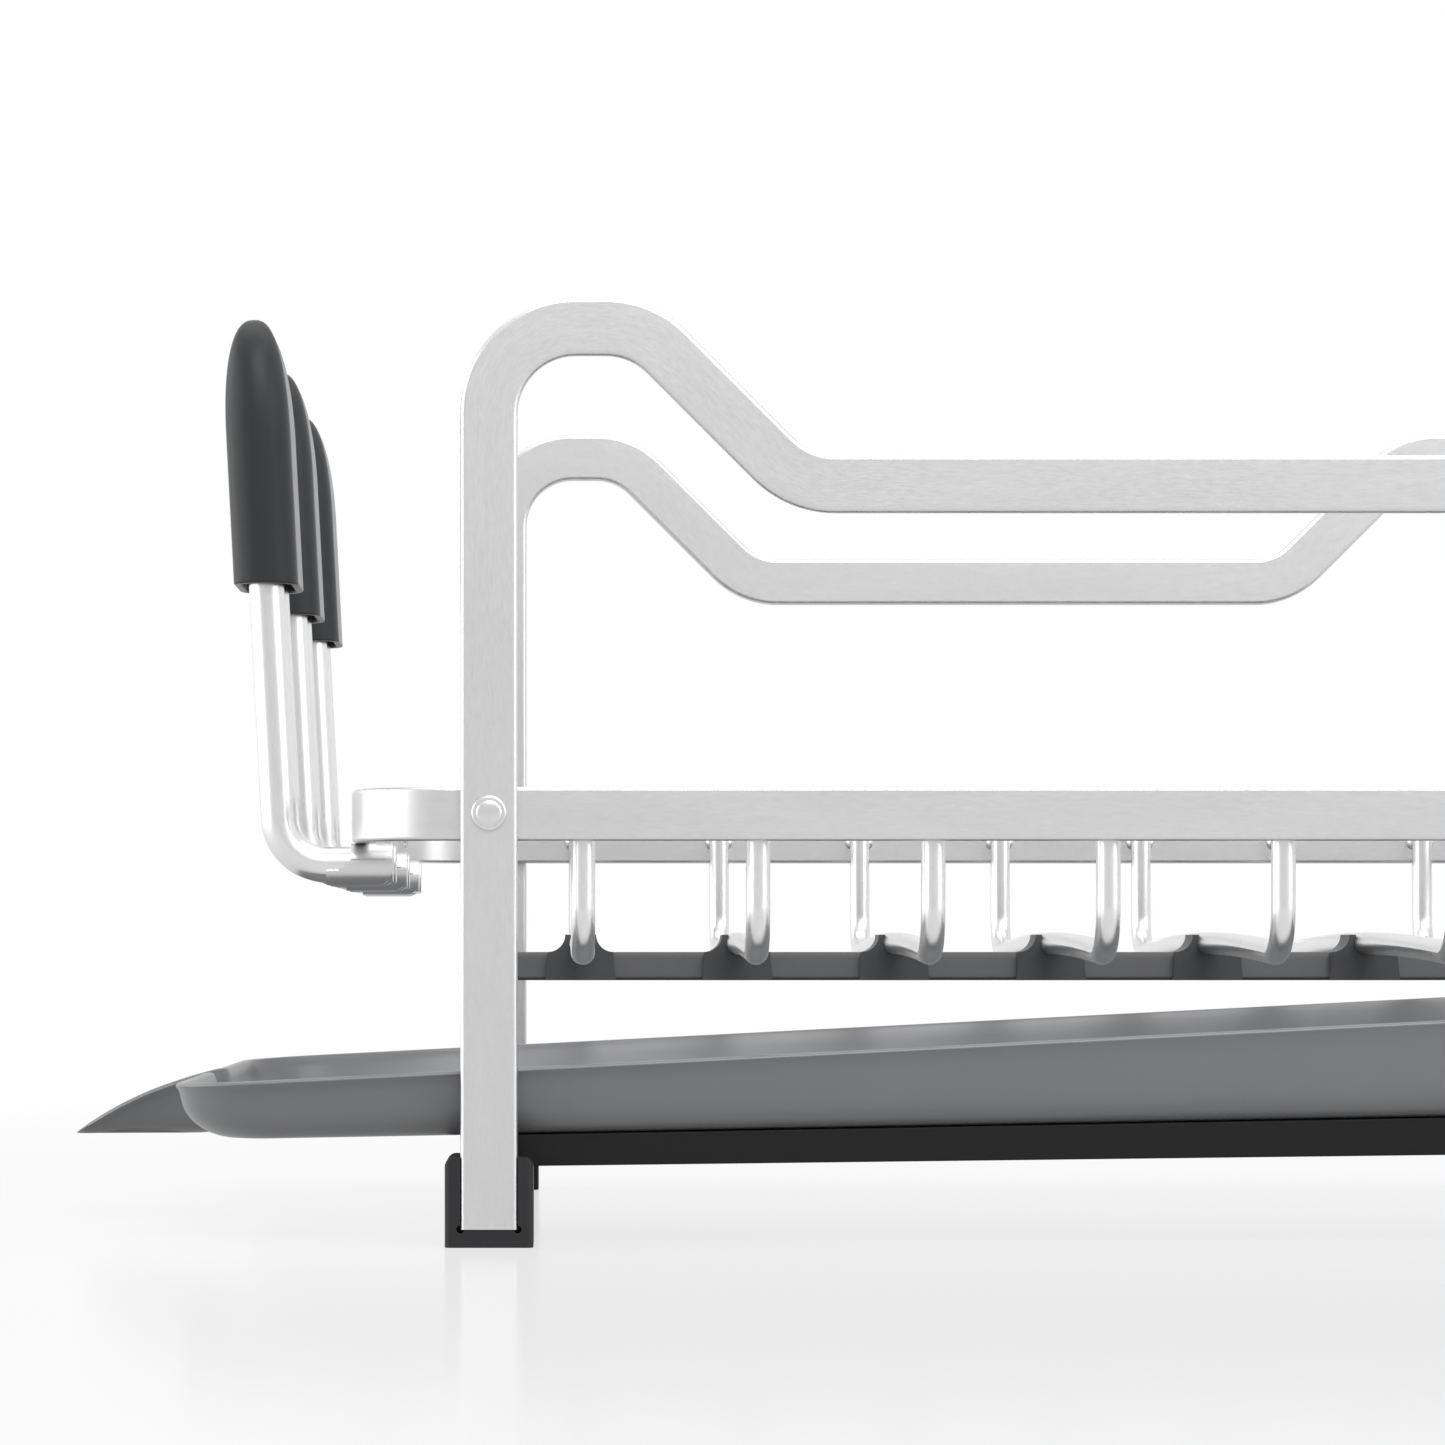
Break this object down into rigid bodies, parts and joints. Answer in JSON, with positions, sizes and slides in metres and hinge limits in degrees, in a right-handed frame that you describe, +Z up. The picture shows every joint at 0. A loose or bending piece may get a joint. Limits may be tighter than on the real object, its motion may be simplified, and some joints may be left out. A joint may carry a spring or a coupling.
{
  "type": "dish drying rack",
  "caption": "Dish drying rack with bent flat-bar arches, a wire plate basket, a sliding sloped drip tray with spout, and gripped cup hoops.",
  "frame": {"origin": "on the worktop, under the middle of the overall bounding box", "axes": "+X along the rack away from the spout end, +Y towards the rear arch, +Z up"},
  "size_m": [0.455, 0.2726, 0.2239],
  "materials": {
    "aluminium_bar": "brushed satin",
    "satin_rod": "satin",
    "rivets": "satin",
    "dark_plastic": "matte",
    "black_plastic": "matte",
    "grey_plastic": "satin",
    "grip_rubber": "matte"
  },
  "bodies": {
    "rack": {"front_arch": "aluminium_bar", "rear_arch": "aluminium_bar", "basket_rim": "aluminium_bar", "arch_rivets": "rivets", "plate_wire_1": "satin_rod", "plate_wire_2": "satin_rod", "plate_wire_3": "satin_rod", "plate_wire_4": "satin_rod", "plate_wire_5": "satin_rod", "plate_wire_6": "satin_rod", "plate_wire_7": "satin_rod", "wire_rail": "dark_plastic", "foot_front_left": "dark_plastic", "foot_front_right": "dark_plastic", "foot_rear_left": "dark_plastic", "foot_rear_right": "dark_plastic", "tray_rail_front": "black_plastic", "tray_rail_rear": "black_plastic", "hoop_socket_1": "aluminium_bar", "hoop_socket_2": "aluminium_bar", "hoop_socket_3": "aluminium_bar", "socket_rivets": "rivets"},
    "tray": {"drip_tray": "grey_plastic"},
    "hoop_1": {"cup_hoop_1": "satin_rod", "hoop_grip_1": "grip_rubber"},
    "hoop_2": {"cup_hoop_2": "satin_rod", "hoop_grip_2": "grip_rubber"},
    "hoop_3": {"cup_hoop_3": "satin_rod", "hoop_grip_3": "grip_rubber"}
  },
  "joints": [
    {"name": "tray_slide", "type": "slide", "parent": "rack", "child": "tray", "axis": [-0.9998, 0, -0.0183], "range_m": [0, 0.3]},
    {"name": "hoop_1_pull", "type": "slide", "parent": "rack", "child": "hoop_1", "axis": [-1, 0, 0], "range_m": [0, 0.0116]},
    {"name": "hoop_2_pull", "type": "slide", "parent": "rack", "child": "hoop_2", "axis": [-1, 0, 0], "range_m": [0, 0.0116]},
    {"name": "hoop_3_pull", "type": "slide", "parent": "rack", "child": "hoop_3", "axis": [-1, 0, 0], "range_m": [0, 0.0116]}
  ]
}
